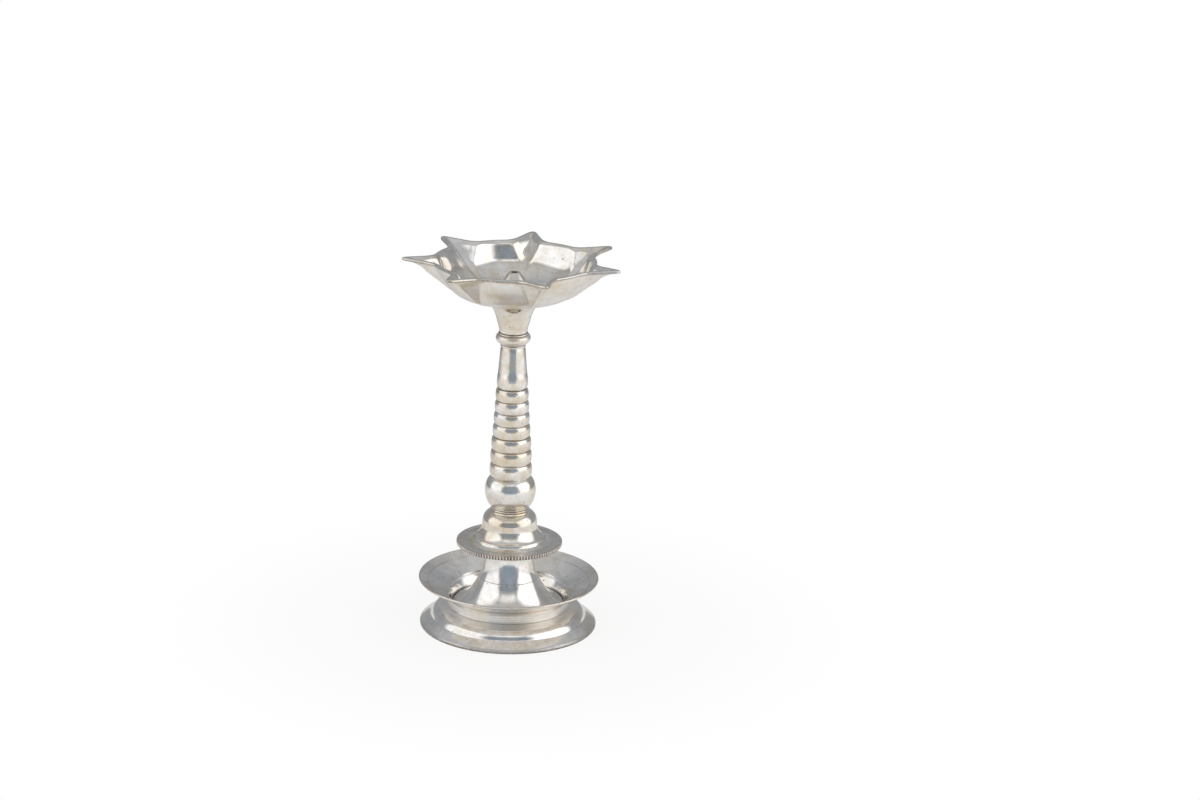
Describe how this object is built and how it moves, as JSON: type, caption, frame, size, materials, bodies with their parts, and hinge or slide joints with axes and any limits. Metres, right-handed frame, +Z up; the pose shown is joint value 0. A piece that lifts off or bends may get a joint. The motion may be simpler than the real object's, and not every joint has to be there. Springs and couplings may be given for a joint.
{
  "type": "standing oil lamp",
  "caption": "Standing oil lamp: domed foot, drip tray, beaded screw-together stem with a milled disc, and a star-shaped bowl with V spouts and a central cone.",
  "frame": {"origin": "centre of the foot's flat underside, on the lamp's axis and on the surface it stands on", "axes": "+Z up along the lamp's axis; the view of the picture looks along +Y with +X to the right"},
  "size_m": [0.105, 0.1062, 0.1885],
  "materials": {
    "silver": "polished silver plate over brass",
    "worn_brass": "dull silver plate over brass",
    "steel": "plain steel",
    "gasket": "dark sealing washer"
  },
  "bodies": {
    "base": {"foot_skirt": "silver", "foot_plate": "worn_brass", "drip_tray": "silver", "bell_flare": "silver", "bell_neck": "silver", "bell_boss": "steel", "clamp_bolt": "steel", "clamp_washer": "steel"},
    "stem_seat": {"stem_washer": "gasket"},
    "stem": {"milled_disc": "silver", "stepped_cup": "silver", "neck_ring": "silver", "ball_section": "silver", "ring_section": "silver", "tapered_shaft": "silver", "collar_ring": "silver", "flared_socket": "silver", "stem_rod": "steel", "lower_nut": "steel", "upper_nut": "steel"},
    "bowl": {"oil_bowl": "silver", "bowl_washer": "gasket"},
    "cone_seat": {"cone_washer": "gasket"},
    "cone": {"wick_cone": "silver"}
  },
  "joints": [
    {"name": "stem_lift", "type": "slide", "parent": "base", "child": "stem_seat", "axis": [0, 0, 1], "range_m": [0, 0.0071]},
    {"name": "stem_turn", "type": "hinge", "parent": "stem_seat", "child": "stem", "pos_m": [0, 0, 0.0422], "axis": [0, 0, 1], "range_deg": [0, 2520]},
    {"name": "bowl_lift", "type": "slide", "parent": "stem", "child": "bowl", "axis": [0, 0, 1], "range_m": [0, 0.012]},
    {"name": "cone_lift", "type": "slide", "parent": "bowl", "child": "cone_seat", "axis": [0, 0, 1], "range_m": [0, 0.0071]},
    {"name": "cone_turn", "type": "hinge", "parent": "cone_seat", "child": "cone", "pos_m": [0, 0, 0.1702], "axis": [0, 0, 1], "range_deg": [0, 2520]}
  ],
  "couplings": [
    {"joint": "stem_lift", "follows": "stem_turn", "m_per_rad": 0.00015915},
    {"joint": "cone_lift", "follows": "cone_turn", "m_per_rad": 0.00015915}
  ]
}
